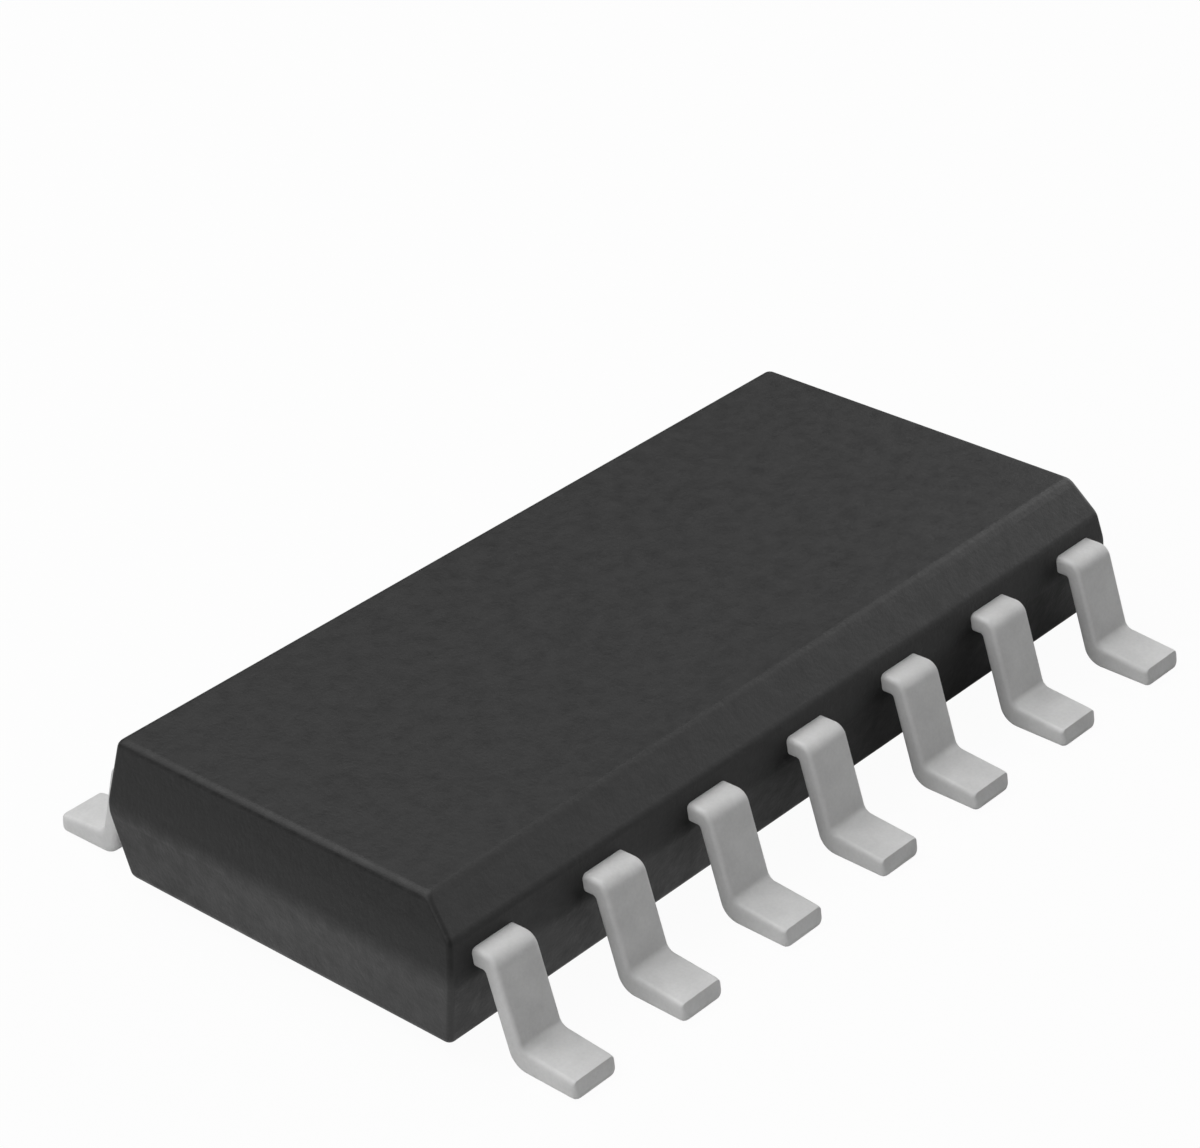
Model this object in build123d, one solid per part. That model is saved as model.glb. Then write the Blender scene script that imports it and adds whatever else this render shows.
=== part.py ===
from build123d import *
import math
import os

# A 14-lead small-outline chip: +X along the row of leads, +Z up, the origin on the board plane
# under the middle of the body. Leads 1 to 7 stand along -Y from -X to +X, and 8 to 14 along +Y
# from +X back to -X. Millimetres and degrees.

# Lead pattern
leads_per_side = 7
pitch = 1.27

# Moulded body. Width and end margin are measured where its walls would meet at the parting plane.
body_width = 4.00
end_margin = 0.51
standoff = 0.10
parting_height = 0.82
body_top_height = 1.457
top_side_draft = 8.9
top_end_draft = 10.9
bottom_side_draft = 11.3
bottom_end_draft = 5.0
bevel_inset = 0.235
bevel_drop = 0.316
knee_radius = 0.60
mould_edge_radius = 0.08

# Formed leads. The lead frame lies on the parting plane.
lead_thickness = 0.178
lead_width = 0.49
shoulder_reach = 0.148
riser_lean = 16.8
foot_length = 0.61
foot_angle = 0.7
foot_taper = 4.6
shoulder_outer_radius = 0.18
shoulder_inner_radius = 0.03
heel_outer_radius = 0.19
heel_inner_radius = 0.17
lead_edge_chamfer = 0.035

# Fingers of the leads inside the moulding
root_depth = 0.25
finger_gap = 0.25
diagonal_finger_reach = 0.40
diagonal_finger_turn = 0.50
end_finger_width = 0.36
end_finger_gap = 0.19
end_finger_corner = 0.43
end_finger_reach = 0.92

# Paddle under the die, with a tie bar at each end
paddle_length = 2.90
paddle_width = 1.90
paddle_downset = 0.15
tie_bar_width = 0.30
tie_bar_cover = 0.20
joggle_offset = 0.10
joggle_run = 0.15

# Die and its adhesive
die_length = 1.30
die_width = 1.10
die_thickness = 0.25
adhesive_thickness = 0.025
adhesive_margin = 0.03

# Bond wires, drawn eight-sided
wire_diameter = 0.025
wire_sides = 8
ball_diameter = 0.075
ball_height = 0.018
pad_inset = 0.08
pad_pitch = 0.23
loop_height = 0.13
loop_shoulder = 0.06
stitch_length = 0.07
bond_inset = 0.12

# Worked out from the sizes above
body_length = (leads_per_side - 1) * pitch + 2 * end_margin
frame_mid_height = parting_height + lead_thickness / 2
frame_top = parting_height + lead_thickness
paddle_top = frame_top - paddle_downset
die_base = paddle_top + adhesive_thickness
die_top = die_base + die_thickness
middle = (leads_per_side - 1) / 2


def tangent(degrees):
    return math.tan(math.radians(degrees))


def cut_back(height, draft):
    """How far a drafted wall has moved in at a height above or below the parting plane."""
    return abs(height - parting_height) * tangent(draft)


def strip_sides(route, thickness):
    """The mitred corner points of both sides of a strip of even thickness along a flat route."""
    points = [Vector(*point) for point in route]
    runs = [(end - start).normalized() for start, end in zip(points, points[1:])]
    normals = [Vector(-run.Y, run.X) for run in runs]
    left = []
    right = []
    for index, point in enumerate(points):
        before = normals[max(index - 1, 0)]
        after = normals[min(index, len(normals) - 1)]
        mitre = (before + after) * (thickness / 2 / (1 + before.dot(after)))
        left.append(point + mitre)
        right.append(point - mitre)
    return left, right


def strip(route, thickness):
    """A flat strip of even thickness along a route of straight runs."""
    left, right = strip_sides(route, thickness)
    return make_face(Polyline(*left, *reversed(right), close=True))


def round_knees(view):
    """A view of the moulding with the turn of its walls at the parting plane rounded."""
    knees = view.vertices().filter_by_position(Axis.Y, parting_height, parting_height)
    return fillet(knees, knee_radius)


def moulded_block():
    """The outside of the moulding: its end view and its side view, extruded through each other."""
    side_top = body_width / 2 - cut_back(body_top_height, top_side_draft)
    side_bottom = body_width / 2 - cut_back(standoff, bottom_side_draft)
    end_top = body_length / 2 - cut_back(body_top_height, top_end_draft)
    end_bottom = body_length / 2 - cut_back(standoff, bottom_end_draft)
    bevel_foot_height = body_top_height - bevel_drop
    bevel_foot = body_width / 2 - cut_back(bevel_foot_height, top_side_draft)
    end_view = Polyline(
        (-side_bottom, standoff),
        (side_bottom, standoff),
        (body_width / 2, parting_height),
        (side_top, body_top_height),
        (bevel_inset - side_top, body_top_height),
        (-bevel_foot, bevel_foot_height),
        (-body_width / 2, parting_height),
        close=True,
    )
    side_view = Polyline(
        (-end_bottom, standoff),
        (end_bottom, standoff),
        (body_length / 2, parting_height),
        (end_top, body_top_height),
        (-end_top, body_top_height),
        (-body_length / 2, parting_height),
        close=True,
    )
    along = extrude(Plane.YZ * round_knees(make_face(end_view)), body_length, both=True)
    across = extrude(Plane.XZ * round_knees(make_face(side_view)), body_width, both=True)
    block = (along & across).solid()
    knee_reach = knee_radius * tangent((top_side_draft + bottom_side_draft) / 2)
    knee_edges = block.edges().filter_by_position(
        Axis.Z, parting_height - knee_reach, parting_height + knee_reach
    )
    return fillet(block.edges() - knee_edges, mould_edge_radius)


def gull_wing():
    """One lead from its root inside the moulding to its toe, at X = 0 on the -Y side."""
    shoulder = body_width / 2 + shoulder_reach
    toe_height = lead_thickness / 2 * math.cos(math.radians(foot_angle))
    heel_height = toe_height + foot_length * math.sin(math.radians(foot_angle))
    heel = shoulder + (frame_mid_height - heel_height) * tangent(riser_lean)
    toe = heel + foot_length * math.cos(math.radians(foot_angle))
    route = [
        (body_width / 2 - root_depth, frame_mid_height),
        (shoulder, frame_mid_height),
        (heel, heel_height),
        (toe, toe_height),
    ]
    upper, lower = strip_sides(route, lead_thickness)
    # The foot thins towards its toe, so the upper corner of the heel sits higher on the riser.
    foot_top = (upper[3] - upper[2]).length
    heel_turn = math.radians(riser_lean + foot_angle + foot_taper)
    heel_rise = foot_top * math.sin(math.radians(foot_taper)) / math.cos(heel_turn)
    upper[2] += (upper[1] - upper[2]).normalized() * heel_rise
    upper_side = FilletPolyline(*upper, radius=[shoulder_outer_radius, heel_inner_radius])
    lower_side = FilletPolyline(*lower, radius=[shoulder_inner_radius, heel_outer_radius])
    root_end = Line(lower[0], upper[0])
    toe_end = Line(upper[-1], lower[-1])
    profile = make_face([upper_side, toe_end, lower_side, root_end])
    outward = Plane(origin=(0, 0, 0), x_dir=(0, -1, 0), z_dir=(-1, 0, 0))
    lead = extrude(outward * profile, lead_width / 2, both=True).solid()
    flanks = lead.faces().filter_by(Axis.X)
    outlines = [edge for flank in flanks for edge in flank.edges().sort_by(Axis.Y)[:-1]]
    return chamfer(outlines, lead_edge_chamfer)


def finger_route(place):
    """The middle of a finger from its root to its tip, for the lead at this place in the -Y row."""
    x = place * pitch
    side = math.copysign(1, place)
    root = (x, root_depth - body_width / 2)
    if abs(place) == middle:
        lane = -(tie_bar_width / 2 + end_finger_gap + end_finger_width / 2)
        tip = side * (paddle_length / 2 + end_finger_reach)
        return [
            root,
            (x, lane - end_finger_corner),
            (x - side * end_finger_corner, lane),
            (tip, lane),
        ]
    if abs(x) > paddle_length / 2:
        turn = -(paddle_width / 2 + diagonal_finger_turn)
        tip_x = paddle_length / 2 + diagonal_finger_reach
        return [root, (x, turn), (side * tip_x, turn + abs(x) - tip_x)]
    return [root, (x, -(paddle_width / 2 + finger_gap))]


def finger(place):
    """The flat inner end of a lead."""
    width = end_finger_width if abs(place) == middle else lead_width
    plan = strip(finger_route(place), width)
    return extrude(Plane.XY.offset(parting_height) * plan, lead_thickness)


def lead(place):
    """A whole lead of the -Y row, from finger tip to toe."""
    return (Pos(place * pitch, 0, 0) * gull_wing() + finger(place)).solid()


def paddle():
    """The plate under the die and the tie bars that step down to it."""
    low = paddle_top - lead_thickness / 2
    step = paddle_length / 2 + joggle_offset
    end = body_length / 2 - tie_bar_cover
    right_half = [(step, low), (step + joggle_run, frame_mid_height), (end, frame_mid_height)]
    left_half = [(-x, height) for x, height in reversed(right_half)]
    bars = extrude(Plane.XZ * strip(left_half + right_half, lead_thickness), tie_bar_width / 2, both=True)
    plate = Pos(0, 0, low) * Box(paddle_length, paddle_width, lead_thickness)
    return (plate + bars).solid()


def die_pad(place):
    """The middle of a die's pad for the lead at this place in the -Y row."""
    if abs(place) == middle:
        side = math.copysign(1, place)
        return side * (die_length / 2 - pad_inset), -pad_pitch
    return place * pad_pitch, pad_inset - die_width / 2


def wire_section(diameter):
    """The section of a wire or of its ball, with a flat side down where the wire lies."""
    return RegularPolygon(diameter / 2, wire_sides, major_radius=False, rotation=180 / wire_sides)


def bond_wire(place):
    """A wire of the -Y row: ball on the die, loop, and stitch on the finger."""
    pad = Vector(*die_pad(place), die_top)
    before, tip = [Vector(*point, frame_top) for point in finger_route(place)[-2:]]
    bond = tip - (tip - before).normalized() * bond_inset
    level = Vector(bond.X - pad.X, bond.Y - pad.Y)
    reach = level.length
    wall = Plane(origin=(pad.X, pad.Y, 0), x_dir=level, z_dir=level.cross(Vector(0, 0, 1)))
    stitch_height = frame_top + wire_diameter / 2
    path = Polyline(
        (0, die_top),
        (0, die_top + loop_height - loop_shoulder),
        (loop_shoulder, die_top + loop_height),
        (reach - stitch_length, stitch_height),
        (reach, stitch_height),
    )
    side = Vector(*wall.z_dir)
    start = Plane(origin=pad, x_dir=side, z_dir=(0, 0, 1))
    wire = sweep(start * wire_section(wire_diameter), path=wall * path, transition=Transition.RIGHT)
    ball = extrude(start * wire_section(ball_diameter), ball_height)
    return (wire + ball).solid()


def in_the_other_row(piece):
    """The same piece after half a turn of the chip."""
    return Rot(0, 0, 180) * piece


leads = {}
wires = {}
for number in range(1, leads_per_side + 1):
    place = number - 1 - middle
    leads[number] = lead(place)
    wires[number] = bond_wire(place)
    leads[number + leads_per_side] = in_the_other_row(leads[number])
    wires[number + leads_per_side] = in_the_other_row(wires[number])

adhesive_length = die_length + 2 * adhesive_margin
adhesive_width = die_width + 2 * adhesive_margin
on_base = (Align.CENTER, Align.CENTER, Align.MIN)
die_paddle = paddle()
die_attach = Pos(0, 0, paddle_top) * Box(adhesive_length, adhesive_width, adhesive_thickness, align=on_base)
silicon_die = Pos(0, 0, die_base) * Box(die_length, die_width, die_thickness, align=on_base)

# The moulding is cast round the frame, the die and the wires, so they leave their own shape in it.
inner_pieces = [die_paddle, die_attach, silicon_die, *leads.values(), *wires.values()]
mould_body = moulded_block()
for piece in inner_pieces:
    mould_body = (mould_body - piece).solid()

nodes = {
    "mould_body": mould_body,
    "die_paddle": die_paddle,
    "die_attach": die_attach,
    "silicon_die": silicon_die,
}
for number, piece in sorted(leads.items()):
    nodes[f"lead_{number:02d}"] = piece
for number, piece in sorted(wires.items()):
    nodes[f"bond_wire_{number:02d}"] = piece

os.makedirs("parts", exist_ok=True)
for name, piece in nodes.items():
    export_step(piece, f"parts/{name}.step")
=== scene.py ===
import math

import bmesh
import bpy
import numpy as np
from mathutils import Matrix, Vector


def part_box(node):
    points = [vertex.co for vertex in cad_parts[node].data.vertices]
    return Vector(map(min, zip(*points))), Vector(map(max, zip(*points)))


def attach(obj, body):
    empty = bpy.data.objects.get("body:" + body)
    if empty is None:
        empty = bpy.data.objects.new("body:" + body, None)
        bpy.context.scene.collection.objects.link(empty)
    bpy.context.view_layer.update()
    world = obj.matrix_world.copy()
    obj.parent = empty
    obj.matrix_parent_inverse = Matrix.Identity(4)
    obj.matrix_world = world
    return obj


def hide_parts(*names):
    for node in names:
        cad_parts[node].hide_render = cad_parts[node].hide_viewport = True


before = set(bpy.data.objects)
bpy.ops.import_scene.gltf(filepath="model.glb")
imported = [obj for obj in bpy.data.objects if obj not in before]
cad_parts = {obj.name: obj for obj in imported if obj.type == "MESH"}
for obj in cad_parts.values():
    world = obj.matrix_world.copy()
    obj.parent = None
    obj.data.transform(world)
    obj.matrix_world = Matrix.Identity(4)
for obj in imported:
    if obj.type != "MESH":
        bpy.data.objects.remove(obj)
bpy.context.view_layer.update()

# Formed leads.
# Fourteen leads of a copper alloy strip, tin-plated. Each is bent to a gull wing outside the moulding and
# sheared off at the toe. A flat finger at its inner end is held in the moulding.

mm = 0.001
lead_names = sorted(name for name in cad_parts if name.startswith("lead_"))
leads_in_row = len(lead_names) // 2
near_row = lead_names[:leads_in_row]
middle_low, middle_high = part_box(near_row[leads_in_row // 2])
next_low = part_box(near_row[leads_in_row // 2 + 1])[0]
pitch = next_low.x - middle_low.x
lead_width = middle_high.x - middle_low.x
lead_thickness = 0.178 * mm
frame_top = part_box("die_paddle")[1].z
frame_bottom = frame_top - lead_thickness
frame_middle = frame_top - lead_thickness / 2
wall_reach = 2.0 * mm
held_length = 0.25 * mm
shoulder_length = 0.148 * mm
root_reach = wall_reach - held_length
shoulder_reach = wall_reach + shoulder_length
riser_lean = math.radians(16.8)
foot_length = 0.628 * mm
foot_angle = math.radians(0.7)
foot_taper = math.radians(4.6)
toe_set_back = 0.045 * mm
bend_radii = {
    "Upper shoulder bend": 0.13 * mm,
    "Lower shoulder bend": 0.03 * mm,
    "Upper heel bend": 0.09 * mm,
    "Lower heel bend": 0.19 * mm,
}
upper_edge_radius = 0.05 * mm
lower_edge_radius = 0.06 * mm
toe_radius = 0.065 * mm
toe_upper_share = 0.25
bend_steps = 12
edge_steps = 6
sharp_turn = math.radians(60)
outer_finger_width = 0.36 * mm
outer_finger_corner = 0.43 * mm
slanted_share = 1.01
tin_cloud_size = 0.25 * mm
tin_crystal_size = 0.03 * mm
tin_crystal_depth = 0.001 * mm
dull_tin = 0.59, 0.59, 0.587
bright_tin = 0.83, 0.83, 0.827


class Wire:
    """A node's output. Arithmetic on it adds Math nodes to its tree."""

    def __init__(self, tree, socket):
        self.tree = tree
        self.socket = socket

    def math(self, operation, *others):
        """What a Math node makes of this value and of any others."""
        return self.tree.add("ShaderNodeMath", {"operation": operation}, dict(enumerate((self, *others))))

    def __add__(self, other):
        return self.math("ADD", other)

    def __sub__(self, other):
        return self.math("SUBTRACT", other)

    def __rsub__(self, other):
        return self.tree.add("ShaderNodeMath", {"operation": "SUBTRACT"}, {0: other, 1: self})

    def __mul__(self, other):
        return self.math("MULTIPLY", other)

    def __truediv__(self, other):
        return self.math("DIVIDE", other)

    __radd__ = __add__
    __rmul__ = __mul__


class Tree:
    """A node tree, filled by calls."""

    def __init__(self, node_tree):
        self.node_tree = node_tree

    def add(self, kind, settings=None, inputs=None, output=0):
        """A new node with its settings, then the values or wires of its inputs. Gives one of its outputs."""
        made = self.node_tree.nodes.new(kind)
        for name, value in (settings or {}).items():
            if name == "cases":
                while len(made.index_switch_items) < value:
                    made.index_switch_items.new()
            else:
                setattr(made, name, value)
        usable = [socket for socket in made.inputs if socket.enabled]
        for key, value in (inputs or {}).items():
            socket = usable[key] if isinstance(key, int) else next(s for s in usable if s.name == key)
            for part in value if isinstance(value, list) else [value]:
                if isinstance(part, Wire):
                    self.node_tree.links.new(part.socket, socket)
                else:
                    socket.default_value = part
        results = [socket for socket in made.outputs if socket.enabled]
        return Wire(self, results[output]) if results else None


class ShapeTree(Tree):
    """A Geometry Nodes tree with named inputs for its sizes."""

    kinds = {int: "Int", float: "Float", Vector: "Vector", bpy.types.Material: "Material"}

    def __init__(self, name, sizes):
        super().__init__(bpy.data.node_groups.new(name, "GeometryNodeTree"))
        self.sizes = sizes
        interface = self.node_tree.interface
        interface.new_socket("Geometry", in_out="INPUT", socket_type="NodeSocketGeometry")
        for label, value in sizes.items():
            interface.new_socket(label, in_out="INPUT", socket_type="NodeSocket" + self.kinds[type(value)])
        interface.new_socket("Geometry", in_out="OUTPUT", socket_type="NodeSocketGeometry")
        entry = self.node_tree.nodes.new("NodeGroupInput")
        self.given = {socket.name: Wire(self, socket) for socket in entry.outputs}

    def keep(self, geometry, field):
        """The geometry with this vector kept on its points, and the vector as what follows sees it."""
        kept = self.node_tree.nodes.new("GeometryNodeCaptureAttribute")
        kept.capture_items.new("VECTOR", "Kept")
        self.node_tree.links.new(geometry.socket, kept.inputs[0])
        self.node_tree.links.new(field.socket, kept.inputs[1])
        return Wire(self, kept.outputs[0]), Wire(self, kept.outputs[1])

    def switch(self, kind, *cases):
        """The case whose number is the point's index. The last one is for all that follow too."""
        index = self.add("GeometryNodeInputIndex").math("MINIMUM", len(cases) - 1)
        inputs = {"Index": index} | {str(number): case for number, case in enumerate(cases)}
        return self.add("GeometryNodeIndexSwitch", {"data_type": kind, "cases": len(cases)}, inputs)

    def grow(self, name, mesh):
        """A new object with the plain mesh that the tree makes of this one."""
        seed = bpy.data.objects.new(name + "_seed", mesh)
        bpy.context.scene.collection.objects.link(seed)
        modifier = seed.modifiers.new("shape", "NODES")
        modifier.node_group = self.node_tree
        for item in self.node_tree.interface.items_tree:
            if item.in_out == "INPUT" and item.name in self.sizes:
                modifier[item.identifier] = self.sizes[item.name]
        depsgraph = bpy.context.evaluated_depsgraph_get()
        grown = bpy.data.meshes.new_from_object(seed.evaluated_get(depsgraph), depsgraph=depsgraph)
        bpy.data.objects.remove(seed)
        piece = bpy.data.objects.new(name, grown)
        bpy.context.scene.collection.objects.link(piece)
        return piece


def finish_material(name, plain_sockets):
    """A material, its tree and its Principled shader, with these values on the shader's plain sockets."""
    material = bpy.data.materials.new(name)
    material.use_nodes = True
    shader = material.node_tree.nodes["Principled BSDF"]
    for socket, value in plain_sockets.items():
        shader.inputs[socket].default_value = value
    return material, Tree(material.node_tree), shader


def feed(shader, wires):
    """Leads each wire to the socket of the shader that it is named for."""
    for name, wire in wires.items():
        wire.tree.node_tree.links.new(wire.socket, shader.inputs[name])


def grain(tree, size, detail=2.0):
    """Noise from 0 to 1 whose lumps are about this size."""
    place = tree.add("ShaderNodeTexCoord", output=3)
    inputs = {"Vector": place, "Scale": 1 / size, "Detail": detail, "Roughness": 0.55}
    return tree.add("ShaderNodeTexNoise", {"noise_dimensions": "3D"}, inputs)


def between(share, first, last):
    """A value between two, by a share from 0 to 1."""
    return share * (last - first) + first


def blend(tree, share, first, last):
    """A colour between two, by a share from 0 to 1."""
    inputs = {"Factor": share, "A": (*first, 1), "B": (*last, 1)}
    return tree.add("ShaderNodeMix", {"data_type": "RGBA"}, inputs)


def bump(tree, height, depth):
    """A normal for a height from 0 to 1 that stands for this depth."""
    return tree.add("ShaderNodeBump", {}, {"Strength": 1.0, "Distance": depth, "Height": height})


def tin_plating():
    """Matt electroplated tin: crystals too fine to see scatter most of the light, with faint clouds."""
    material, tree, shader = finish_material("tin_plating", {"Specular IOR Level": 0.0})
    clouds = grain(tree, tin_cloud_size)
    crystals = grain(tree, tin_crystal_size)
    varying = {
        "Base Color": blend(tree, clouds * 0.6 + crystals * 0.4, dull_tin, bright_tin),
        "Metallic": between(clouds, 0.12, 0.22),
        "Roughness": between(crystals, 0.5, 0.6),
        "Normal": bump(tree, crystals, tin_crystal_depth),
    }
    feed(shader, varying)
    return material


def finger_route(name):
    """The middle of a lead's finger in plan, from its root to its tip, and its width."""
    low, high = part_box(name)
    x = (near_row.index(name) - leads_in_row // 2) * pitch
    inward = -math.copysign(1, x)
    furthest = high.x if inward > 0 else low.x
    root = Vector((x, -root_reach))
    if name in (near_row[0], near_row[-1]):
        lane = high.y - outer_finger_width / 2
        leaving = Vector((x, lane - outer_finger_corner))
        turned = Vector((x + inward * outer_finger_corner, lane))
        return [root, leaving, turned, Vector((furthest, lane))], outer_finger_width
    if high.x - low.x > slanted_share * lead_width:
        square = lead_width / 2 * math.sqrt(0.5)
        tip = Vector((furthest - inward * square, high.y - square))
        return [root, Vector((x, tip.y - abs(tip.x - x))), tip], lead_width
    return [root, Vector((x, high.y))], lead_width


def strip_sides(route, width):
    """The corner points of both sides of a strip of even width along a route, mitred at its corners."""
    runs = [(end - start).normalized() for start, end in zip(route, route[1:])]
    sides = [Vector((-run.y, run.x)) for run in runs]
    left = []
    right = []
    for index, point in enumerate(route):
        before = sides[max(index - 1, 0)]
        after = sides[min(index, len(sides) - 1)]
        mitre = (before + after) * (width / 2 / (1 + before.dot(after)))
        left.append(point + mitre)
        right.append(point - mitre)
    return left, right


def stamped_fingers():
    """The flat fingers of one row."""
    shape = bmesh.new()
    for name in near_row:
        left, right = strip_sides(*finger_route(name))
        corners = [shape.verts.new((point.x, point.y, frame_bottom)) for point in right + left[::-1]]
        flat = shape.faces.new(corners)
        raised = bmesh.ops.extrude_face_region(shape, geom=[flat], use_keep_orig=True)["geom"]
        moved = [item for item in raised if isinstance(item, bmesh.types.BMVert)]
        bmesh.ops.translate(shape, vec=(0, 0, lead_thickness), verts=moved)
    bmesh.ops.recalc_face_normals(shape, faces=shape.faces)
    mesh = bpy.data.meshes.new("stamped_fingers")
    shape.to_mesh(mesh)
    shape.free()
    return mesh


toe_height = lead_thickness / 2 * math.cos(foot_angle)
heel_height = toe_height + foot_length * math.sin(foot_angle)
heel_reach = shoulder_reach + (frame_middle - heel_height) * math.tan(riser_lean)
toe_reach = heel_reach + foot_length * math.cos(foot_angle)
wing_corners = {
    "root": Vector((root_reach, frame_middle)),
    "shoulder": Vector((shoulder_reach, frame_middle)),
    "heel": Vector((heel_reach, heel_height)),
    "toe": Vector((toe_reach, toe_height)),
}
upper_side, lower_side = strip_sides(list(wing_corners.values()), lead_thickness)
shoulder, heel, toe = upper_side[1:]
# The foot thins towards its toe, so the upper corner of the heel sits higher on the riser.
heel_rise = (toe - heel).length * math.sin(foot_taper) / math.cos(riser_lean + foot_angle + foot_taper)
heel += (shoulder - heel).normalized() * heel_rise
# The shear leaves the toe leaning back.
toe.x -= toe_set_back
wing_places = {
    f"{side} {corner}": Vector((0, -place.x, place.y))
    for side, places in (("Upper", upper_side), ("Lower", lower_side))
    for corner, place in zip(wing_corners, places)
}

lead_shape = ShapeTree(
    "formed_leads",
    {
        "Leads in a row": leads_in_row,
        "Pitch": pitch,
        "Lead width": lead_width,
        "Lead thickness": lead_thickness,
        **wing_places,
        **bend_radii,
        "Upper edge radius": upper_edge_radius,
        "Lower edge radius": lower_edge_radius,
        "Bend steps": bend_steps,
        "Edge steps": edge_steps,
        "Toe radius": toe_radius,
        "Toe upper share": toe_upper_share,
        "Plating": tin_plating(),
    },
)
given = lead_shape.given


def bent_side(side):
    """The upper or lower side of a lead as a curve, with its bends rounded and closer points at the toe."""
    *others, heel, toe = [given[f"{side} {corner}"] for corner in wing_corners]
    past_heel = lead_shape.add("GeometryNodeInputIndex") - (len(others) + 1)
    turned = past_heel / given["Edge steps"] * (math.pi / 2)
    left_over = given["Toe radius"] * (1 - turned.math("SINE"))
    back = lead_shape.add("ShaderNodeVectorMath", {"operation": "SUBTRACT"}, {0: heel, 1: toe})
    back = lead_shape.add("ShaderNodeVectorMath", {"operation": "NORMALIZE"}, {0: back})
    scaled = {"Vector": back, "Scale": left_over}
    back = lead_shape.add("ShaderNodeVectorMath", {"operation": "SCALE"}, scaled)
    ending = lead_shape.add("ShaderNodeVectorMath", {"operation": "ADD"}, {0: toe, 1: back})
    places = lead_shape.switch("VECTOR", *others, heel, ending)
    points = lead_shape.add("GeometryNodeMeshLine", {}, {"Count": given["Edge steps"] + len(wing_corners)})
    points = lead_shape.add("GeometryNodeSetPosition", {}, {"Geometry": points, "Position": places})
    route = lead_shape.add("GeometryNodeMeshToCurve", {}, {"Mesh": points})
    radii = lead_shape.switch("FLOAT", 0.0, given[f"{side} shoulder bend"], given[f"{side} heel bend"], 0.0)
    bent = {"Curve": route, "Count": given["Bend steps"], "Radius": radii, "Limit Radius": True}
    return lead_shape.add("GeometryNodeFilletCurve", {"mode": "POLY"}, bent)


position = lead_shape.add("GeometryNodeInputPosition")
number = lead_shape.add("GeometryNodeInputIndex")
same_point = {"Geometry": bent_side("Lower"), "Value": position, "Index": number}
opposite = lead_shape.add("GeometryNodeSampleIndex", {"data_type": "FLOAT_VECTOR"}, same_point)
rail, upper = lead_shape.keep(bent_side("Upper"), position)
rail, lower = lead_shape.keep(rail, opposite)
outline = {"Width": given["Lead width"], "Height": given["Lead thickness"]}
section = lead_shape.add("GeometryNodeCurvePrimitiveQuadrilateral", {}, outline)
upper_edge = given["Upper edge radius"]
lower_edge = given["Lower edge radius"]
rounding = lead_shape.switch("FLOAT", upper_edge, upper_edge, lower_edge, lower_edge)
eased = {"Curve": section, "Count": given["Edge steps"], "Radius": rounding, "Limit Radius": True}
section = lead_shape.add("GeometryNodeFilletCurve", {"mode": "POLY"}, eased)
section, spot = lead_shape.keep(section, position)
swept = {"Curve": rail, "Profile Curve": section, "Fill Caps": True}
wing = lead_shape.add("GeometryNodeCurveToMesh", {}, swept)
across = lead_shape.add("ShaderNodeSeparateXYZ", {}, {"Vector": spot})
raised = lead_shape.add("ShaderNodeSeparateXYZ", {}, {"Vector": spot}, output=1)
share = raised / given["Lead thickness"] + 0.5
# Near the toe the section draws in, from all sides but the top.
to_the_end = {0: lower, 1: given["Lower toe"]}
left_over = lead_shape.add("ShaderNodeVectorMath", {"operation": "DISTANCE"}, to_the_end)
radius = given["Toe radius"]
depth = (radius - left_over).math("MAXIMUM", 0.0)
drawn_in = radius - (radius * radius - depth * depth).math("SQRT")
narrowed = drawn_in * (1 - share * (1 - given["Toe upper share"])) * 2
across = across * (1 - narrowed / given["Lead width"])
share = 1 - (1 - share) * (1 - drawn_in / given["Lead thickness"])
level = lead_shape.add("ShaderNodeMix", {"data_type": "VECTOR"}, {"Factor": share, "A": lower, "B": upper})
aside = lead_shape.add("ShaderNodeCombineXYZ", {}, {"X": across})
place = lead_shape.add("ShaderNodeVectorMath", {"operation": "ADD"}, {0: level, 1: aside})
wing = lead_shape.add("GeometryNodeSetPosition", {}, {"Geometry": wing, "Position": place})
turn = lead_shape.add("GeometryNodeInputMeshEdgeAngle")
cut = lead_shape.add("FunctionNodeCompare", {"operation": "GREATER_THAN"}, {"A": turn, "B": sharp_turn})
wing = lead_shape.add("GeometryNodeSetShadeSmooth", {}, {"Geometry": wing, "Shade Smooth": True})
crisp = {"Geometry": wing, "Selection": cut, "Shade Smooth": False}
wing = lead_shape.add("GeometryNodeSetShadeSmooth", {"domain": "EDGE"}, crisp)
row_start = (1 - given["Leads in a row"]) * given["Pitch"] * 0.5
line = {
    "Count": given["Leads in a row"],
    "Start Location": lead_shape.add("ShaderNodeCombineXYZ", {}, {"X": row_start}),
    "Offset": lead_shape.add("ShaderNodeCombineXYZ", {}, {"X": given["Pitch"]}),
}
places = lead_shape.add("GeometryNodeMeshLine", {}, line)
wings = lead_shape.add("GeometryNodeInstanceOnPoints", {}, {"Points": places, "Instance": wing})
near = lead_shape.add("GeometryNodeJoinGeometry", {}, {"Geometry": [given["Geometry"], wings]})
far = lead_shape.add("GeometryNodeTransform", {}, {"Geometry": near, "Rotation": (0, 0, math.pi)})
both = lead_shape.add("GeometryNodeJoinGeometry", {}, {"Geometry": [near, far]})
plain = lead_shape.add("GeometryNodeRealizeInstances", {}, {"Geometry": both})
plated = lead_shape.add("GeometryNodeSetMaterial", {}, {"Geometry": plain, "Material": given["Plating"]})
lead_shape.add("NodeGroupOutput", {}, {"Geometry": plated})

leads = lead_shape.grow("formed_leads", stamped_fingers())
leads.modifiers.new("flat_faces", "WEIGHTED_NORMAL").keep_sharp = True
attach(leads, "root")
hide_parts(*lead_names)

# Die paddle with its tie bars.
# The bare copper plate in the middle of the lead frame, stamped with the leads and set down below them.

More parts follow.
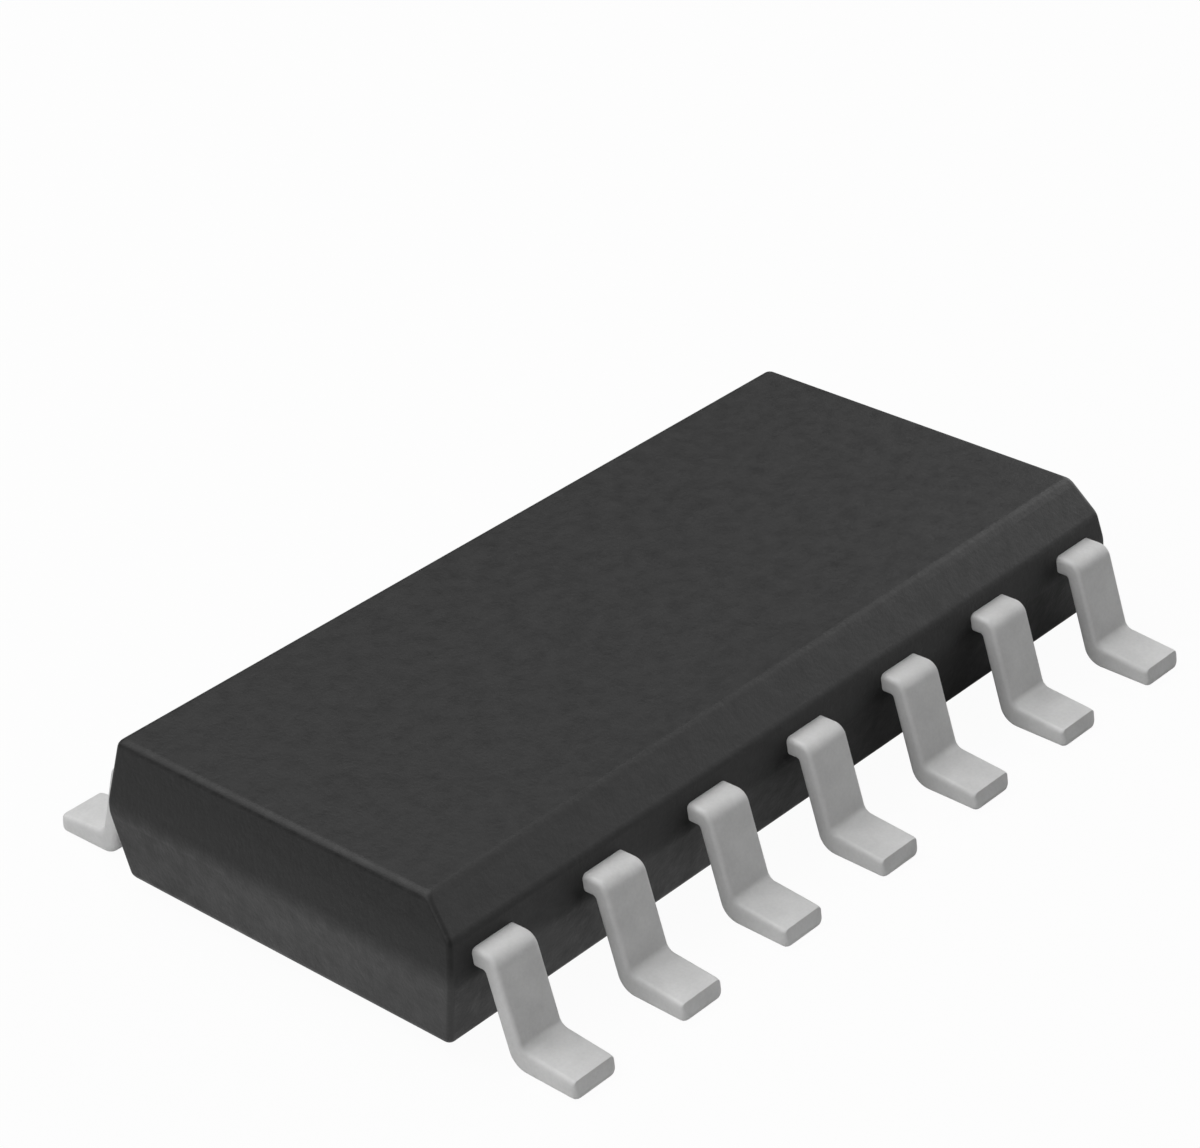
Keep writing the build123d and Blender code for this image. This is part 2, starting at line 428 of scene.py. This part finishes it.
rolling_line_width = 0.02 * mm
rolling_line_depth = 0.001 * mm
rolling_stretch = 0.04, 1, 1
dark_copper = 0.62, 0.30, 0.18
bright_copper = 0.80, 0.45, 0.29


def frame_copper():
    """Rolled copper alloy, with the faint lines of rolling along the strip."""
    material, tree, shader = finish_material("frame_copper", {"Metallic": 1.0})
    place = tree.add("ShaderNodeTexCoord", output=3)
    drawn = tree.add("ShaderNodeMapping", {}, {"Vector": place, "Scale": rolling_stretch})
    inputs = {"Vector": drawn, "Scale": 1 / rolling_line_width, "Detail": 3.0}
    lines = tree.add("ShaderNodeTexNoise", {}, inputs)
    varying = {
        "Base Color": blend(tree, lines, dark_copper, bright_copper),
        "Roughness": between(lines, 0.28, 0.48),
        "Normal": bump(tree, lines, rolling_line_depth),
    }
    feed(shader, varying)
    return material


def dress(name, material):
    """Gives a node of the frame its material, in place of the one it came with."""
    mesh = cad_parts[name].data
    mesh.materials.clear()
    mesh.materials.append(material)


dress("die_paddle", frame_copper())

# Die attach.
# A thin cured layer of silver-filled adhesive between paddle and die.

flake_size = 0.008 * mm
flake_depth = 0.003 * mm
dark_adhesive = 0.36, 0.36, 0.35
silver_flake = 0.66, 0.66, 0.64


def silver_adhesive():
    """Grey epoxy full of silver flakes."""
    material, tree, shader = finish_material("silver_adhesive", {"Metallic": 0.6})
    flakes = grain(tree, flake_size, detail=4.0)
    varying = {
        "Base Color": blend(tree, flakes, dark_adhesive, silver_flake),
        "Roughness": between(flakes, 0.65, 0.35),
        "Normal": bump(tree, flakes, flake_depth),
    }
    feed(shader, varying)
    return material


dress("die_attach", silver_adhesive())

# Silicon die.
# The circuit itself: a sawn chip of polished silicon, blue-grey where its oxide and metal layers lie.

layer_block_size = 0.09 * mm
blue_oxide = 0.05, 0.07, 0.12
violet_oxide = 0.20, 0.17, 0.24


def silicon():
    """Polished silicon with the blocky tint of its layers."""
    material, tree, shader = finish_material("silicon", {"Metallic": 0.35, "Roughness": 0.22})
    place = tree.add("ShaderNodeTexCoord", output=3)
    blocks = {"Vector": place, "Scale": 1 / layer_block_size, "Randomness": 1.0}
    cells = tree.add("ShaderNodeTexVoronoi", {"distance": "CHEBYCHEV"}, blocks)
    feed(shader, {"Base Color": blend(tree, cells * 1.2, blue_oxide, violet_oxide)})
    return material


dress("silicon_die", silicon())

# Bond wires.
# Fine gold wire, balled on the die and stitched down on the finger of each lead.

drawing_mark_size = 0.006 * mm
deep_gold = 0.92, 0.63, 0.22
bright_gold = 1.0, 0.76, 0.36


def gold_wire():
    """Drawn gold, bright, with a trace of drawing marks."""
    material, tree, shader = finish_material("gold_wire", {"Metallic": 1.0})
    marks = grain(tree, drawing_mark_size)
    varying = {
        "Base Color": blend(tree, marks, deep_gold, bright_gold),
        "Roughness": between(marks, 0.16, 0.28),
    }
    feed(shader, varying)
    return material


gold = gold_wire()
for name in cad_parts:
    if name.startswith("bond_wire_"):
        dress(name, gold)

# Moulding.
# Black epoxy, moulded round the lead frame in one shot. The walls are drafted both ways from the parting
# plane, the long top edge on the side of lead 1 is bevelled, and the mould leaves every edge rounded.

half_width = wall_reach
half_length = 4.32 * mm
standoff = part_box("mould_body")[0].z
top_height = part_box("mould_body")[1].z
parting_height = frame_bottom
side_drafts = math.radians(8.9), math.radians(11.3)
end_drafts = math.radians(10.9), math.radians(5.0)
bevel_inset = 0.235 * mm
bevel_drop = 0.316 * mm
top_radius = 0.08 * mm
bevel_foot_radius = 0.15 * mm
knee_radius = 0.6 * mm
bottom_radius = 0.10 * mm
upright_radius = 0.05 * mm
finest_steps = 90
height_digits = 7
epoxy_cloud_size = 0.15 * mm
epoxy_grain_size = 0.035 * mm
epoxy_depth = 0.007 * mm
black_epoxy = 0.0, 0.0, 0.0
grey_epoxy = 0.014, 0.014, 0.014


def wall_corners(half_span, drafts, bevelled=False):
    """Reach and height of a wall's corners from the underside to the top, each with its radius."""
    upper, lower = [math.tan(draft) for draft in drafts]
    foot = half_span - (parting_height - standoff) * lower
    crown = half_span - (top_height - parting_height) * upper
    corners = [((foot, standoff), bottom_radius), ((half_span, parting_height), knee_radius)]
    if bevelled:
        height = top_height - bevel_drop
        corners.append(((half_span - (height - parting_height) * upper, height), bevel_foot_radius))
        crown -= bevel_inset
    return corners + [((crown, top_height), top_radius)]


def rounded_wall(corners, steps):
    """Reaches and heights along a wall with its corners rounded, each arc in this many steps."""
    points = [Vector(place) for place, radius in corners]
    points = [points[0] - Vector((mm, 0)), *points, points[-1] - Vector((mm, 0))]
    track = []
    for before, corner, after, (place, radius) in zip(points, points[1:], points[2:], corners):
        come = (corner - before).normalized()
        go = (after - corner).normalized()
        half_turn = come.angle(go) / 2
        start = corner - come * radius * math.tan(half_turn)
        centre = start + Vector((-come.y, come.x)) * radius
        for step in range(steps + 1):
            track.append(centre + Matrix.Rotation(2 * half_turn * step / steps, 2) @ (start - centre))
    return np.array(track)


def ring(reaches, height):
    """One level of the moulding: a rectangle with rounded corners, from these reaches of its four walls."""
    left, right, near, far = reaches
    points = []
    for x, y, start in ((right, far, 0), (-left, far, 90), (-left, -near, 180), (right, -near, 270)):
        inset = Vector((-math.copysign(upright_radius, x), -math.copysign(upright_radius, y)))
        centre = Vector((x, y)) + inset
        for step in range(edge_steps + 1):
            angle = math.radians(start + 90 * step / edge_steps)
            points.append((*(centre + upright_radius * Vector((math.cos(angle), math.sin(angle)))), height))
    return points


def moulded_skin():
    """The outside of the moulding as rings from the underside to the top."""
    side = wall_corners(half_width, side_drafts)
    bevelled_side = wall_corners(half_width, side_drafts, bevelled=True)
    end = wall_corners(half_length, end_drafts)
    coarse = [rounded_wall(wall, edge_steps) for wall in (side, bevelled_side, end)]
    heights = sorted({round(height, height_digits) for wall in coarse for height in wall[:, 1]})
    fine = [rounded_wall(wall, finest_steps) for wall in (end, end, bevelled_side, side)]
    shape = bmesh.new()
    rings = []
    for height in heights:
        reaches = [float(np.interp(height, wall[:, 1], wall[:, 0])) for wall in fine]
        rings.append([shape.verts.new(point) for point in ring(reaches, height)])
    for lower, upper in zip(rings, rings[1:]):
        for index in range(len(lower)):
            after = (index + 1) % len(lower)
            shape.faces.new((lower[index], lower[after], upper[after], upper[index]))
    shape.faces.new(reversed(rings[0]))
    shape.faces.new(rings[-1])
    for face in shape.faces:
        face.smooth = True
    mesh = bpy.data.meshes.new("moulding")
    shape.to_mesh(mesh)
    shape.free()
    return mesh


def moulding_compound():
    """Black epoxy full of silica: matt, with a fine grain and faint clouds in its grey."""
    material, tree, shader = finish_material("moulding_compound", {"Specular IOR Level": 0.4})
    clouds = grain(tree, epoxy_cloud_size)
    texture = grain(tree, epoxy_grain_size)
    varying = {
        "Base Color": blend(tree, clouds * 1.2 + texture * 0.8 - 0.5, black_epoxy, grey_epoxy),
        "Roughness": between(clouds, 0.28, 0.62) + texture * 0.08,
        "Normal": bump(tree, clouds * 0.7 + texture * 0.3, epoxy_depth),
    }
    feed(shader, varying)
    return material


moulding = bpy.data.objects.new("moulding", moulded_skin())
bpy.context.scene.collection.objects.link(moulding)
moulding.data.materials.append(moulding_compound())
moulding.modifiers.new("flat_faces", "WEIGHTED_NORMAL")
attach(moulding, "root")
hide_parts("mould_body")

# Bench and light.
# A bench with matt pale paint carries the chip, with a painted glow near the chip's left end that only
# reflections see.
# The room is pale and a little brighter overhead and at the front right. Four soft lamps stand behind the
# chip, to its left and to its right.

bench_half = 400 * mm
bench_grey = 0.74, 0.74, 0.74, 1
shown_white = 0.96
white = 1, 1, 1, 1
# Painted reflection: round this spot near the chip's left end the bench glows for reflections only, though
# no lamp is there.
painted_glow_middle = Vector((-3.6, -1.2, 0)) * mm
painted_glow_reach = 1.5 * mm, 6 * mm
painted_bench_glow = 0.6, 0.03
room_level = 0.03
overhead_reach = 0.2, 0.6
overhead_glow = 0.02, 0.62
front_azimuth = 45
front_elevation = 25
front_reach = 0.7, 1.0
front_glow = 0.0, 0.9
lamp_distance = 60 * mm
lamp_size = 45 * mm


def outward(azimuth, elevation):
    """The direction from the chip for these angles in degrees, with azimuth 0 in front of lead 1's row."""
    turn = math.radians(azimuth)
    lift = math.radians(elevation)
    return Vector((math.sin(turn) * math.cos(lift), -math.cos(turn) * math.cos(lift), math.sin(lift)))


def lookers(tree):
    """Two masks: one for what the camera sees, and one for what a polished surface or clear glass sees."""
    path = tree.node_tree.nodes.new("ShaderNodeLightPath")
    names = "Is Camera Ray", "Is Glossy Ray", "Is Transmission Ray"
    seen, glossy, clear = [Wire(tree, path.outputs[name]) for name in names]
    return seen, glossy + clear


def fall(tree, value, reach, levels):
    """A level that goes softly from the first to the last over this reach of a value."""
    inputs = {
        "Value": value,
        "From Min": reach[0],
        "From Max": reach[1],
        "To Min": levels[0],
        "To Max": levels[1],
    }
    return tree.add("ShaderNodeMapRange", {"interpolation_type": "SMOOTHSTEP"}, inputs)


def bench_paint():
    """Matt pale paint that shows as white and keeps a soft shadow, with a painted glow round a spot near the
    chip's left end that only reflections see.
    """
    material = bpy.data.materials.new("bench_paint")
    material.use_nodes = True
    tree = Tree(material.node_tree)
    material.node_tree.nodes.clear()
    place = tree.add("ShaderNodeTexCoord", output=3)
    away = tree.add("ShaderNodeVectorMath", {"operation": "DISTANCE"}, {0: place, 1: painted_glow_middle})
    mirrored = fall(tree, away, painted_glow_reach, painted_bench_glow)
    seen, mirror = lookers(tree)
    paint = tree.add("ShaderNodeBsdfDiffuse", {}, {"Color": bench_grey})
    bright = tree.add("ShaderNodeEmission", {}, {"Color": white, "Strength": 1.0})
    shown = tree.add("ShaderNodeMixShader", {}, {0: seen * shown_white, 1: paint, 2: bright})
    # The painted glow: emission that only polished surfaces and glass see, strongest near the chip's left
    # end.
    glow = tree.add("ShaderNodeEmission", {}, {"Color": white, "Strength": mirror * mirrored})
    surface = tree.add("ShaderNodeAddShader", {}, {0: shown, 1: glow})
    tree.add("ShaderNodeOutputMaterial", {}, {"Surface": surface})
    return material


bench_mesh = bpy.data.meshes.new("bench")
bench_corners = [(x * bench_half, y * bench_half, 0) for x, y in ((-1, -1), (1, -1), (1, 1), (-1, 1))]
bench_mesh.from_pydata(bench_corners, [], [(0, 1, 2, 3)])
bench = bpy.data.objects.new("bench", bench_mesh)
bpy.context.scene.collection.objects.link(bench)
bench_mesh.materials.append(bench_paint())

room = bpy.data.worlds.new("room")
room.use_nodes = True
bpy.context.scene.world = room
room_tree = Tree(room.node_tree)
room.node_tree.nodes.clear()
direction = room_tree.add("ShaderNodeTexCoord")
steepness = room_tree.add("ShaderNodeSeparateXYZ", {}, {"Vector": direction}, output=2)
overhead = fall(room_tree, steepness, overhead_reach, overhead_glow)
facing_front = {0: direction, 1: outward(front_azimuth, front_elevation)}
nearness = room_tree.add("ShaderNodeVectorMath", {"operation": "DOT_PRODUCT"}, facing_front)
mirrored = overhead + fall(room_tree, nearness, front_reach, front_glow)
seen, mirror = lookers(room_tree)
level = seen * (1 - room_level) + mirror * mirrored + room_level
air = room_tree.add("ShaderNodeBackground", {}, {"Color": white, "Strength": level})
room_tree.add("ShaderNodeOutputWorld", {}, {"Surface": air})


def soft_lamp(name, azimuth, elevation, strength):
    """A square lamp that faces the chip from this direction."""
    lamp = bpy.data.lights.new(name, "AREA")
    lamp.shape = "SQUARE"
    lamp.size = lamp_size
    lamp.energy = strength
    piece = bpy.data.objects.new(name, lamp)
    bpy.context.scene.collection.objects.link(piece)
    out = outward(azimuth, elevation)
    piece.location = out * lamp_distance
    piece.rotation_euler = out.to_track_quat("Z", "Y").to_euler()


soft_lamp("back_lamp", azimuth=180, elevation=72, strength=0.0160)
soft_lamp("edge_lamp", azimuth=225, elevation=45, strength=0.0095)
soft_lamp("left_lamp", azimuth=280, elevation=30, strength=0.0082)
soft_lamp("right_lamp", azimuth=90, elevation=18, strength=0.0150)

# Camera.
# It looks down on the side of lead 1 from the left. Its numbers hold for a picture of the size below.

picture_width = 1200
picture_height = 1148
focal_pixels = 3757.8
optical_centre = 614.4, 559.8
sensor_width = 36
nearest_seen = mm
furthest_seen = 10
aim = Vector((0.292, 0.394, 1.637)) * mm
camera_azimuth = -46.821
camera_elevation = 29.936
camera_roll = -2.771
camera_distance = 32.80 * mm

lens = bpy.data.cameras.new("camera")
lens.sensor_width = sensor_width
lens.lens = focal_pixels * sensor_width / picture_width
lens.shift_x = (picture_width / 2 - optical_centre[0]) / picture_width
lens.shift_y = (optical_centre[1] - picture_height / 2) / picture_width
lens.clip_start = nearest_seen
lens.clip_end = furthest_seen
camera = bpy.data.objects.new("camera", lens)
bpy.context.scene.collection.objects.link(camera)
back = outward(camera_azimuth, camera_elevation)
camera.location = aim + back * camera_distance
facing = (-back).to_track_quat("-Z", "Y").to_matrix() @ Matrix.Rotation(math.radians(camera_roll), 3, "Z")
camera.rotation_euler = facing.to_euler()
bpy.context.scene.camera = camera
bpy.context.scene.view_settings.view_transform = "Standard"
